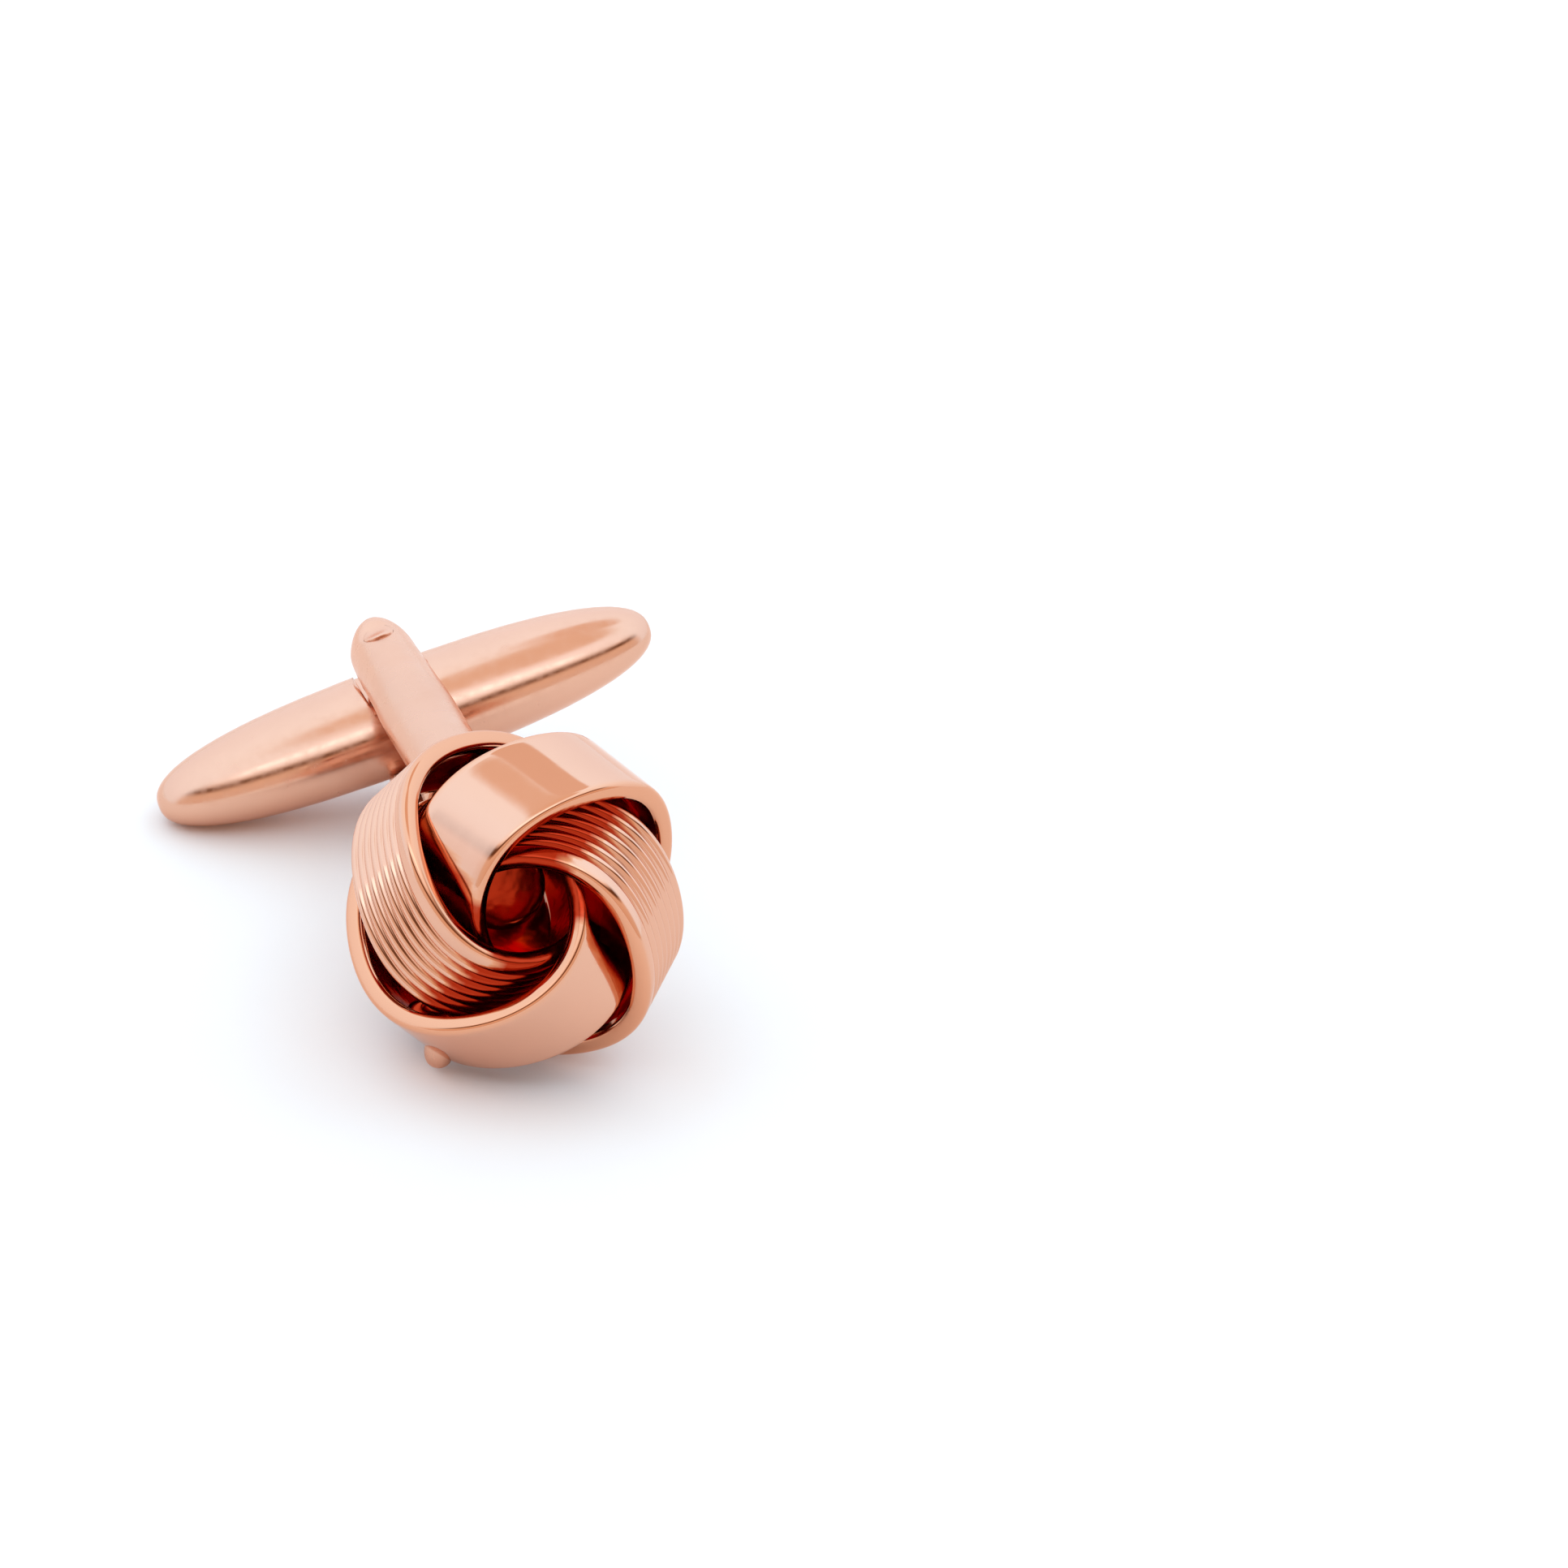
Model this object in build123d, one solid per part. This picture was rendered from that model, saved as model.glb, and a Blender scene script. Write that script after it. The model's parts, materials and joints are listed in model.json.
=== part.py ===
from build123d import *
import os
import numpy as np

# Knot cufflink with a swivelling torpedo back, lying on a flat surface.
# Everything is first modelled about the pin: +X along the torpedo bar, -Y from the pin
# towards the knot and +Z along the pin. The last section lays the whole piece down.
# Millimetres and degrees.

# The four woven bands
BAND_COUNT = 4
BAND_WIDTH = 3.85
BAND_THICKNESS = 0.8
BAND_CORNER = 0.14
BAND_STATIONS = 48

# One band is a closed hoop. Its centre stands off the knot's axis and its own axis leans,
# so that each hoop passes through the next one and the four swirl round an open core.
HOOP_RADIUS = 4.77
HOOP_OFFSET = 1.55
HOOP_LEAN = 46.0
HOOP_LEAN_DIRECTION = -90.5

# Hand-bent hoops are not quite round or flat: waves round the hoop, as size and start angle
OVAL_WAVE = 0.34
OVAL_START = -9.2
EGG_WAVE = 0.19
EGG_START = 126.4
SADDLE_WAVE = 0.336
SADDLE_START = 153.6
RIPPLE_WAVE = 0.189
RIPPLE_START = -126.8
FLARE_MEAN = 3.8
FLARE_WAVE = 8.0
FLARE_START = 70.4

# Ribs on two of the bands, beside a plain border on the inner edge
RIB_COUNT = 7
RIB_HEIGHT = 0.13
RIB_BORDER = 0.8
RIB_VALLEY_SHARE = 0.3

# Where the knot sits on its back
KNOT_DISTANCE = 17.85
KNOT_TILT = 16.3
KNOT_SPIN = 28.5

# Forked bracket: two domed arms with round eyes, meeting in a neck with a round stem
ARM_WIDTH = 2.9
ARM_GAP = 4.6
ARM_THICKNESS = 1.35
ARM_EDGE = 0.4
EYE_RADIUS = 1.25
EYE_REACH = 0.4
EYE_TAPER_LENGTH = 5.5
EYE_BOSS_GAP = 0.1
UPPER_BEND = 10.8
UPPER_SLOPE = 32.0
LOWER_BEND = 8.6
LOWER_SLOPE = 28.0
CROTCH = 10.8
STEM_RADIUS = 1.3
STEM_END = 2.7
BUTTON_RADIUS = 1.75
BUTTON_THICKNESS = 0.8
SEAT_GAP = 0.12

# Torpedo bar and its pin
BAR_LENGTH = 20.4
BAR_HEIGHT = 5.1
BAR_DEPTH = 4.0
BAR_FULLNESS = 2.5
BAR_SECTION_ANGLES = (90.0, 75.0, 60.0, 46.0, 33.0, 22.0, 13.0, 6.0)
TONGUE_THICKNESS = 2.7
SHOULDER_REACH = 1.35
SHOULDER_ROUND = 14.0
PIN_RADIUS = 0.6
PIN_SINK = 0.08
PIN_HEAD_RADIUS = 0.85
PIN_HEAD_HEIGHT = 0.4
PIN_HEAD_SINK = 0.2
PIN_RUNNING_GAP = 0.04
PIN_SEAT_GAP = 0.01

# How finely the exact pieces are sampled to find what touches the surface
TOUCH_TOLERANCE = 0.01
TOUCH_ANGLE = 0.1
TOUCH_STEPS = 40


def wave(angle, size, start, count):
    """A wave with the given number of crests round the hoop."""
    return size * np.cos(count * angle - np.radians(start))


def hoop_axes():
    """The hoop's own axis and two directions across it, in the knot's frame."""
    lean = np.radians(HOOP_LEAN)
    direction = np.radians(HOOP_LEAN_DIRECTION)
    axis = np.array([np.sin(lean) * np.cos(direction), np.sin(lean) * np.sin(direction), np.cos(lean)])
    rise = np.array([0.0, 0.0, 1.0]) - axis * axis[2]
    rise = rise / np.linalg.norm(rise)
    return axis, rise, np.cross(axis, rise)


def band_point(angle, across, outward):
    """A point of the first band: across its width and outward from its middle surface."""
    axis, rise, side = hoop_axes()
    radial = np.cos(angle) * rise + np.sin(angle) * side
    radius = HOOP_RADIUS + wave(angle, OVAL_WAVE, OVAL_START, 2) + wave(angle, EGG_WAVE, EGG_START, 3)
    lift = wave(angle, SADDLE_WAVE, SADDLE_START, 2) + wave(angle, RIPPLE_WAVE, RIPPLE_START, 3)
    flare = np.radians(FLARE_MEAN + wave(angle, FLARE_WAVE, FLARE_START, 1))
    out = radius - np.sin(flare) * across + np.cos(flare) * outward
    along = lift + np.cos(flare) * across + np.sin(flare) * outward
    return np.array([HOOP_OFFSET, 0.0, 0.0]) + out * radial + along * axis


def smooth_profile():
    """Section of a plain band as (across, outward) points, with small corner chamfers."""
    half = BAND_WIDTH / 2
    face = BAND_THICKNESS / 2
    return [
        (half, -face + BAND_CORNER),
        (half, face - BAND_CORNER),
        (half - BAND_CORNER, face),
        (-half + BAND_CORNER, face),
        (-half, face - BAND_CORNER),
        (-half, -face + BAND_CORNER),
        (-half + BAND_CORNER, -face),
        (half - BAND_CORNER, -face),
    ]


def ribbed_profile():
    """Section of a ribbed band: a plain border, then ribs to the far edge."""
    half = BAND_WIDTH / 2
    face = BAND_THICKNESS / 2
    pitch = (BAND_WIDTH - RIB_BORDER - BAND_CORNER) / RIB_COUNT
    points = [
        (half, -face + BAND_CORNER),
        (half, face - BAND_CORNER),
        (half - BAND_CORNER, face),
        (half - RIB_BORDER + BAND_CORNER, face),
    ]
    for rib in range(RIB_COUNT):
        start = half - RIB_BORDER - rib * pitch
        points.append((start, face - RIB_HEIGHT))
        points.append((start - pitch * RIB_VALLEY_SHARE, face))
        points.append((start - pitch * (1 - RIB_VALLEY_SHARE), face))
    points += [
        (-half, face - RIB_HEIGHT),
        (-half, -face + BAND_CORNER),
        (-half + BAND_CORNER, -face),
        (half - BAND_CORNER, -face),
    ]
    return points


def turn_x(degrees):
    c, s = np.cos(np.radians(degrees)), np.sin(np.radians(degrees))
    return np.array([[1, 0, 0], [0, c, -s], [0, s, c]])


def turn_y(degrees):
    c, s = np.cos(np.radians(degrees)), np.sin(np.radians(degrees))
    return np.array([[c, 0, s], [0, 1, 0], [-s, 0, c]])


def turn_z(degrees):
    c, s = np.cos(np.radians(degrees)), np.sin(np.radians(degrees))
    return np.array([[c, -s, 0], [s, c, 0], [0, 0, 1]])


# The knot's frame in the pin's frame: its axis tilts up from the line of the arms
KNOT_CENTRE = np.array([0.0, -KNOT_DISTANCE, 0.0])
KNOT_TURN = turn_x(90) @ turn_x(-KNOT_TILT) @ turn_z(KNOT_SPIN)


def band_points(profile, number):
    """The sections of one band, as an array of stations by profile points."""
    turn = KNOT_TURN @ turn_z(-360.0 / BAND_COUNT * number)
    stations = []
    for station in range(BAND_STATIONS):
        angle = 2 * np.pi * station / BAND_STATIONS
        stations.append([turn @ band_point(angle, across, outward) + KNOT_CENTRE for across, outward in profile])
    return np.array(stations)


def closed_hoop(stations):
    """A faceted solid through a closed row of sections."""
    faces = []
    rows, columns = stations.shape[:2]
    for row in range(rows):
        for column in range(columns):
            a = stations[row][column]
            b = stations[(row + 1) % rows][column]
            c = stations[(row + 1) % rows][(column + 1) % columns]
            d = stations[row][(column + 1) % columns]
            for corners in ((a, b, c), (a, c, d)):
                outline = Wire.make_polygon([tuple(corner) for corner in corners], close=True)
                faces.append(Face(outline))
    return Solid(Shell(faces))


def arm_section():
    """The arm's section at the eye: flat inside, domed outside, standing on the inner face."""
    half = ARM_WIDTH / 2
    base = Line((-half, 0), (half, 0))
    right = Line((half, 0), (half, ARM_EDGE))
    dome = ThreePointArc((half, ARM_EDGE), (0, ARM_THICKNESS), (-half, ARM_EDGE))
    left = Line((-half, ARM_EDGE), (-half, 0))
    return make_face([base, right, dome, left])


def arm_end(bend, slope):
    """Where an arm's inner face meets the middle between the arms."""
    return bend + ARM_GAP / 2 / np.tan(np.radians(slope))


def arm(bend, slope):
    """One arm above the middle plane, with its round eye at the pin."""
    path = Polyline(
        (0, EYE_REACH + EYE_RADIUS, ARM_GAP / 2),
        (0, -bend, ARM_GAP / 2),
        (0, -arm_end(bend, slope), 0),
    )
    section = Plane(origin=path @ 0, x_dir=(1, 0, 0), z_dir=(0, -1, 0)) * arm_section()
    body = sweep(section, path=path, transition=Transition.RIGHT)
    far = arm_end(bend, slope) + ARM_WIDTH
    outline = Polyline(
        (-EYE_RADIUS, EYE_REACH),
        (-ARM_WIDTH / 2, -EYE_TAPER_LENGTH),
        (-ARM_WIDTH / 2, -far),
        (ARM_WIDTH / 2, -far),
        (ARM_WIDTH / 2, -EYE_TAPER_LENGTH),
        (EYE_RADIUS, EYE_REACH),
    )
    tip = EYE_REACH + EYE_RADIUS
    round_end = ThreePointArc((EYE_RADIUS, EYE_REACH), (0, tip), (-EYE_RADIUS, EYE_REACH))
    mask = extrude(make_face([outline, round_end]), amount=ARM_GAP + ARM_THICKNESS, both=True)
    boss_length = (ARM_GAP - TONGUE_THICKNESS) / 2 - EYE_BOSS_GAP
    boss = Pos(0, 0, ARM_GAP / 2 - boss_length / 2) * Cylinder(EYE_RADIUS, boss_length)
    return (body & mask) + boss


def bracket():
    """The cast fork: two arms, the crotch between them and the stem with its button end."""
    upper = arm(UPPER_BEND, UPPER_SLOPE)
    lower = mirror(arm(LOWER_BEND, LOWER_SLOPE), about=Plane.XY)
    upper_drop = np.tan(np.radians(UPPER_SLOPE))
    lower_drop = np.tan(np.radians(LOWER_SLOPE))
    overlap = ARM_EDGE / 2
    meet = arm_meeting()
    web_outline = Polyline(
        (-CROTCH, ARM_GAP / 2 - (CROTCH - UPPER_BEND) * upper_drop + overlap),
        (-meet[0], meet[1] + overlap),
        (-meet[0], meet[1] - overlap),
        (-CROTCH, -ARM_GAP / 2 + (CROTCH - LOWER_BEND) * lower_drop - overlap),
        close=True,
    )
    web = extrude(Plane.YZ * make_face(web_outline), amount=ARM_WIDTH / 2, both=True)
    fork = upper + lower + web
    fork = fork - Pos(*KNOT_CENTRE) * Sphere(SEAT_RADIUS)
    axis = KNOT_TURN @ np.array([0.0, 0.0, 1.0])
    stem_start = KNOT_CENTRE - axis * (SEAT_RADIUS + ARM_THICKNESS / 2)
    stem_length = SEAT_RADIUS + ARM_THICKNESS / 2 - STEM_END
    stem_plane = Plane(origin=tuple(stem_start), x_dir=(1, 0, 0), z_dir=tuple(axis))
    stem = stem_plane * extrude(Circle(STEM_RADIUS), amount=stem_length)
    button_place = Pos(0, 0, stem_length - BUTTON_THICKNESS / 2)
    stem += stem_plane * button_place * Cylinder(BUTTON_RADIUS, BUTTON_THICKNESS)
    hole = Cylinder(PIN_RADIUS + PIN_SEAT_GAP, 2 * (ARM_GAP + ARM_THICKNESS))
    seat_depth = PIN_HEAD_SINK + PIN_SEAT_GAP
    seat = Cylinder(PIN_HEAD_RADIUS + PIN_SEAT_GAP, seat_depth)
    return fork + stem - hole - Pos(0, 0, seat_depth / 2 - ARM_GAP / 2 - ARM_THICKNESS) * seat


def arm_meeting():
    """Distance from the pin and height where the two sloping inner faces would cross."""
    upper_drop = np.tan(np.radians(UPPER_SLOPE))
    lower_drop = np.tan(np.radians(LOWER_SLOPE))
    distance = (ARM_GAP + UPPER_BEND * upper_drop + LOWER_BEND * lower_drop) / (upper_drop + lower_drop)
    return distance, ARM_GAP / 2 - (distance - UPPER_BEND) * upper_drop


def bar_profile():
    """Half of the bar's outline, as (distance from the middle, half height) pairs."""
    power = 2 / BAR_FULLNESS
    angles = np.radians(BAR_SECTION_ANGLES)
    distances = BAR_LENGTH / 2 * np.cos(angles) ** power
    heights = BAR_HEIGHT / 2 * np.sin(angles) ** power
    return list(zip(distances, heights))


def torpedo():
    """The bar before its waist is cut: oval sections, narrower along the pin."""
    profile = bar_profile()
    whole = [(-distance, height) for distance, height in profile[:0:-1]] + profile
    ovals = []
    for distance, height in whole:
        plane = Plane(origin=(distance, 0, 0), x_dir=(0, 1, 0), z_dir=(1, 0, 0))
        ovals.append(plane * Ellipse(height, height * BAR_DEPTH / BAR_HEIGHT))
    tip = BAR_LENGTH / 2
    return loft([Vertex(-tip, 0, 0), *ovals, Vertex(tip, 0, 0)])


def toggle_bar():
    """The torpedo bar with a flat tongue between two round shoulders, bored for the pin."""
    reach = SHOULDER_REACH + SHOULDER_ROUND
    waist = Rectangle(2 * reach, BAR_HEIGHT + ARM_WIDTH)
    waist -= Pos(reach, 0) * Circle(SHOULDER_ROUND)
    waist -= Pos(-reach, 0) * Circle(SHOULDER_ROUND)
    pocket = Pos(0, 0, TONGUE_THICKNESS / 2) * extrude(waist, amount=BAR_DEPTH)
    body = torpedo() - pocket - mirror(pocket, about=Plane.XY)
    return body - Cylinder(PIN_RADIUS + PIN_RUNNING_GAP, BAR_HEIGHT)


def pivot_pin():
    """The pin: sunk a little at its top, with a low domed head let into the lower arm."""
    outer = ARM_GAP / 2 + ARM_THICKNESS
    shaft = Pos(0, 0, -PIN_SINK / 2) * Cylinder(PIN_RADIUS, 2 * outer - PIN_SINK)
    rim = Pos(0, 0, PIN_HEAD_SINK / 2 - outer) * Cylinder(PIN_HEAD_RADIUS, PIN_HEAD_SINK)
    dome_radius = (PIN_HEAD_RADIUS**2 + PIN_HEAD_HEIGHT**2) / (2 * PIN_HEAD_HEIGHT)
    dome = Pos(0, 0, dome_radius - PIN_HEAD_HEIGHT - outer) * Sphere(dome_radius)
    dome &= Pos(0, 0, -PIN_HEAD_HEIGHT / 2 - outer) * Cylinder(PIN_HEAD_RADIUS, PIN_HEAD_HEIGHT)
    return shaft + rim + dome


# The bands' sections, and the round seat that the bracket keeps clear of them
PROFILES = {"smooth": smooth_profile(), "ribbed": ribbed_profile()}
BANDS = {
    "smooth_band_top": ("smooth", 0),
    "ribbed_band_right": ("ribbed", 1),
    "smooth_band_bottom": ("smooth", 2),
    "ribbed_band_left": ("ribbed", 3),
}
sections = {node: band_points(PROFILES[kind], number) for node, (kind, number) in BANDS.items()}
knot_points = np.concatenate([rows.reshape(-1, 3) for rows in sections.values()])


def seat_radius():
    """Just outside the bands where they face the fork."""
    away = knot_points - KNOT_CENTRE
    facing = (away[:, 1] > 0) & (np.abs(away[:, 0]) < ARM_WIDTH) & (np.abs(away[:, 2]) < ARM_WIDTH)
    return np.linalg.norm(away[facing], axis=1).max() + SEAT_GAP


SEAT_RADIUS = seat_radius()
fork_part = bracket()
bar_part = toggle_bar()
pin_part = pivot_pin()


def vertices_of(part):
    """Surface points of an exact part."""
    corners, _ = part.tessellate(TOUCH_TOLERANCE, TOUCH_ANGLE)
    return np.array([tuple(corner) for corner in corners])


def resting_turn():
    """Turn the part until knot, pin head and the bar's left tip touch one level plane."""
    fork_points = vertices_of(fork_part)
    pin_points = vertices_of(pin_part)
    bar_points = vertices_of(bar_part)
    left_points = bar_points[bar_points[:, 0] < 0]
    eye_points = np.concatenate([pin_points, fork_points[fork_points[:, 1] > -EYE_TAPER_LENGTH]])
    up = np.array([0.0, 0.0, 1.0])
    for _ in range(TOUCH_STEPS):
        touches = [group[np.argmin(group @ up)] for group in (knot_points, eye_points, left_points)]
        normal = np.cross(touches[1] - touches[0], touches[2] - touches[0])
        normal = normal / np.linalg.norm(normal)
        up = normal * np.sign(normal[2])
    roll = np.degrees(np.arctan2(-up[0], up[2]))
    after_roll = turn_y(roll) @ up
    pitch = np.degrees(np.arctan2(after_roll[1], after_roll[2]))
    return roll, pitch


ROLL, PITCH = resting_turn()
REST_TURN = turn_x(PITCH) @ turn_y(ROLL)
exact_points = [vertices_of(part) for part in (fork_part, bar_part, pin_part)]
every_point = np.concatenate([knot_points, *exact_points]) @ REST_TURN.T
low = every_point.min(axis=0)
high = every_point.max(axis=0)
REST_SHIFT = -np.array([(low[0] + high[0]) / 2, (low[1] + high[1]) / 2, low[2]])


def lay_down(part):
    """Turn an exact part about the pin's centre and set it on the surface."""
    turned = part.rotate(Axis.Y, ROLL).rotate(Axis.X, PITCH)
    return Pos(*REST_SHIFT) * turned


os.makedirs("parts", exist_ok=True)
for node, rows in sections.items():
    export_step(closed_hoop(rows @ REST_TURN.T + REST_SHIFT), f"parts/{node}.step")
for node, part in {"bracket": fork_part, "toggle_bar": bar_part, "pivot_pin": pin_part}.items():
    export_step(lay_down(part), f"parts/{node}.step")

pin_axis = REST_TURN @ np.array([0.0, 0.0, 1.0])
print("seat radius", round(SEAT_RADIUS, 3))
print("roll and pitch", round(ROLL, 2), round(PITCH, 2))
print("pin centre", *np.round(REST_SHIFT, 4))
print("pin axis", *np.round(pin_axis, 6))
print("post axis", *np.round(REST_TURN @ np.array([0.0, -1.0, 0.0]), 6))
print("bar axis", *np.round(REST_TURN @ np.array([1.0, 0.0, 0.0]), 6))
print("knot centre", *np.round(REST_TURN @ KNOT_CENTRE + REST_SHIFT, 4))
print("knot axis", *np.round(REST_TURN @ KNOT_TURN @ np.array([0.0, 0.0, 1.0]), 6))
print("size", *np.round(high - low, 3))
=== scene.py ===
import json
import bpy
from math import atan2, cos, degrees, hypot, radians, sin
from mathutils import Matrix, Vector


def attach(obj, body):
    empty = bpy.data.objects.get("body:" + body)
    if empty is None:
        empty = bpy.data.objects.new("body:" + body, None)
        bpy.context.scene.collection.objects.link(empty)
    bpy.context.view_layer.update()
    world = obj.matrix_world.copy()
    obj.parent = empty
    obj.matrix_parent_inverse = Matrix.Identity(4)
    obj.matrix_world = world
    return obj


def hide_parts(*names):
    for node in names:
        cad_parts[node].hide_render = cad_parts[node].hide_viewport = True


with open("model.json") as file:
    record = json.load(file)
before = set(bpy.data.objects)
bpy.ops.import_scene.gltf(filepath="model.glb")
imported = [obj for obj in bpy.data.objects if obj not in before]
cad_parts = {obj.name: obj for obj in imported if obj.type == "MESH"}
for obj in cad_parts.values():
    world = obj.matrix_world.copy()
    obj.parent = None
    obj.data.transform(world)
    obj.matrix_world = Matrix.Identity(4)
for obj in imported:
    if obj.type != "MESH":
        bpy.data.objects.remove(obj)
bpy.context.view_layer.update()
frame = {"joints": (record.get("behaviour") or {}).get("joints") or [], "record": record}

# The stage is a plain white table top inside a bright tent of softboxes. The warm walls of
# the room in the gaps between them give polished metal its tan and brown lines. The camera
# looks from the photograph's angle, about 31 degrees above the table.
bpy.ops.object.select_all(action="DESELECT")
bpy.context.scene.view_settings.view_transform = "Standard"


def direction(azimuth, elevation):
    """The way from the cufflink to a place in the studio: azimuth 0 is -Y, in degrees."""
    level = cos(radians(elevation))
    return Vector((
        sin(radians(azimuth)) * level,
        -cos(radians(azimuth)) * level,
        sin(radians(elevation)),
    ))


aim = Vector((0.0122, -0.00107, 0.00672))
towards_camera = direction(-16.4, 30.8)
camera_roll = radians(4.7)
camera_distance = 0.8
bpy.ops.object.camera_add(location=aim + towards_camera * camera_distance)
camera = bpy.context.object
camera.rotation_mode = "QUATERNION"
upright = towards_camera.to_track_quat("Z", "Y").to_matrix().to_4x4()
camera.rotation_quaternion = (upright @ Matrix.Rotation(camera_roll, 4, "Z")).to_quaternion()
camera.data.lens = 477
camera.data.clip_end = 20
bpy.context.scene.camera = camera

table_paint = bpy.data.materials.new("pale table top")
table_paint.use_nodes = True
table_shader = table_paint.node_tree.nodes["Principled BSDF"]
table_shader.inputs["Base Color"].default_value = (0.97, 0.91, 0.865, 1)
table_shader.inputs["Roughness"].default_value = 0.7
bpy.ops.mesh.primitive_plane_add(size=1.6, location=(0, 0.1, 0))
table = bpy.context.object
table.name = "table_top"
table.data.materials.append(table_paint)

# One softbox high in front draws the cream lights along the bar and the rims
key_away = direction(-14, 56)
bpy.ops.object.light_add(type="AREA", location=key_away * 0.6)
key = bpy.context.object
key.name = "front_softbox"
key.data.shape = "RECTANGLE"
key.data.size = 0.5
key.data.size_y = 0.1
key.data.energy = 0.1
key.data.color = (0.92, 1.0, 1.1)
key.rotation_mode = "QUATERNION"
key.rotation_quaternion = key_away.to_track_quat("Z", "Y")

room = bpy.data.worlds.new("tent and warm room")
room.use_nodes = True
bpy.context.scene.world = room
room_nodes = room.node_tree.nodes
room_links = room.node_tree.links
where = room_nodes.new("ShaderNodeTexCoord")
way = room_nodes.new("ShaderNodeSeparateXYZ")
room_links.new(where.outputs["Generated"], way.inputs["Vector"])


def painted_wall(bands):
    """A wall of the studio, painted in (share of the way up, colour) bands."""
    wall = room_nodes.new("ShaderNodeValToRGB")
    for share, colour in bands[1:-1]:
        wall.color_ramp.elements.new(share)
    for element, (share, colour) in zip(wall.color_ramp.elements, bands):
        element.position = share
        element.color = (*colour, 1)
    room_links.new(way.outputs["Z"], wall.inputs["Fac"])
    return wall


tent_back = painted_wall([
    (0.0, (1.1, 1.34, 1.57)),
    (0.30, (1.16, 1.41, 1.67)),
    (0.80, (1.24, 1.57, 1.86)),
    (0.925, (1.24, 1.55, 1.8)),
    (0.955, (1.01, 0.891, 0.783)),
    (1.0, (0.991, 0.852, 0.725)),
])
room_front = painted_wall([
    (0.0, (0.897, 0.786, 0.696)),
    (0.41, (0.968, 0.812, 0.681)),
    (0.46, (0.566, 0.354, 0.232)),
    (0.50, (0.165, 0.0786, 0.0362)),
    (0.58, (0.189, 0.0917, 0.0435)),
    (0.65, (1.06, 0.969, 0.899)),
    (0.70, (1.27, 1.52, 1.74)),
    (0.90, (1.27, 1.55, 1.8)),
    (0.955, (1.04, 0.917, 0.812)),
    (1.0, (0.991, 0.852, 0.725)),
])
# The tent is behind and above, and the room's walls show in front of it, towards -Y
front_to_back = room_nodes.new("ShaderNodeMapRange")
front_to_back.interpolation_type = "SMOOTHSTEP"
front_to_back.inputs["From Min"].default_value = -0.42
front_to_back.inputs["From Max"].default_value = -0.12
room_links.new(way.outputs["Y"], front_to_back.inputs["Value"])
walls = room_nodes.new("ShaderNodeMix")
walls.data_type = "RGBA"
room_links.new(front_to_back.outputs["Result"], walls.inputs["Factor"])
room_links.new(room_front.outputs["Color"], walls.inputs["A"])
room_links.new(tent_back.outputs["Color"], walls.inputs["B"])

# A warm board hangs over the back of the table: it is the tan patch on the top band
board_spot = room_nodes.new("ShaderNodeVectorMath")
board_spot.operation = "DOT_PRODUCT"
board_spot.inputs[1].default_value = direction(163, 61)
room_links.new(where.outputs["Generated"], board_spot.inputs[0])
board_edge = room_nodes.new("ShaderNodeMapRange")
board_edge.interpolation_type = "SMOOTHSTEP"
board_edge.inputs["From Min"].default_value = cos(radians(13.5))
board_edge.inputs["From Max"].default_value = cos(radians(11))
room_links.new(board_spot.outputs["Value"], board_edge.inputs["Value"])
with_board = room_nodes.new("ShaderNodeMix")
with_board.data_type = "RGBA"
with_board.inputs["B"].default_value = (0.99, 0.84, 0.725, 1)
room_links.new(board_edge.outputs["Result"], with_board.inputs["Factor"])
room_links.new(walls.outputs["Result"], with_board.inputs["A"])
room_links.new(with_board.outputs["Result"], room_nodes["Background"].inputs["Color"])
room_nodes["Background"].inputs["Strength"].default_value = 1.0

# How the cufflink lies. The pieces are made square to the pin, with the bar along X, the
# knot towards -Y and the pin along Z, and are then laid on the table as the packed
# model's swivel and post lie there.
swivel = frame["joints"][0]
pin_line = Vector(swivel["axis"]).normalized()
to_bar = -Vector(frame["record"]["mounts"][0]["axis"]).normalized()
to_bar = (to_bar - pin_line * to_bar.dot(pin_line)).normalized()
along_bar = to_bar.cross(pin_line)
laid_down = Matrix((along_bar, to_bar, pin_line)).transposed().to_4x4()
laid_down.translation = Vector(swivel["pos_m"])

# Smooth bands: two flat strips of polished metal, each bent into a hoop and soldered shut,
# threaded through their neighbours. The hoops aren't quite round: hand bending leaves a
# slight oval, a twist and a flare, and the strip's corners are eased.
band_width = 0.00385
half_width = band_width / 2
band_thickness = 0.0008
half_thickness = band_thickness / 2
band_corner = 0.00028
band_steps = 96
hoop_radius = 0.00477
hoop_offset = 0.00155
hoop_lean = radians(46.0)
hoop_lean_direction = radians(-90.5)
inner_face_radius = hoop_radius - half_thickness * 0.97

# Each hand bend has a height, the times it comes round the hoop, and where it starts. The
# flare leans the strip outwards, by its mean and a swing in degrees.
oval = (0.00034, 2, radians(-9.2))
egg = (0.00019, 3, radians(126.4))
saddle = (0.000336, 2, radians(153.6))
ripple = (0.000189, 3, radians(-126.8))
flare_mean = 3.8
flare_swing = 8.0
flare_turn = radians(70.4)

# Where the painted shade starts on a hoop, in degrees round the hoop: the dark red shade and
# reflection of the knot's inside, painted where the hoop dives into it. The slants are degrees
# to the metre, and the last two values are shares of painted shade, on the rims and where a
# face takes the dark inside metal.
shade_slant = 2200
shade_border_slant = 9000
shade_fade = 5
groove_lead = 10
shade_end = 110
shade_end_fade = 15
rim_shade = 0.16
wholly_shaded = 0.85

# Where the knot sits on its stem
knot_distance = 0.01785
knot_tilt = radians(16.3)
knot_spin = radians(28.5)

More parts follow.
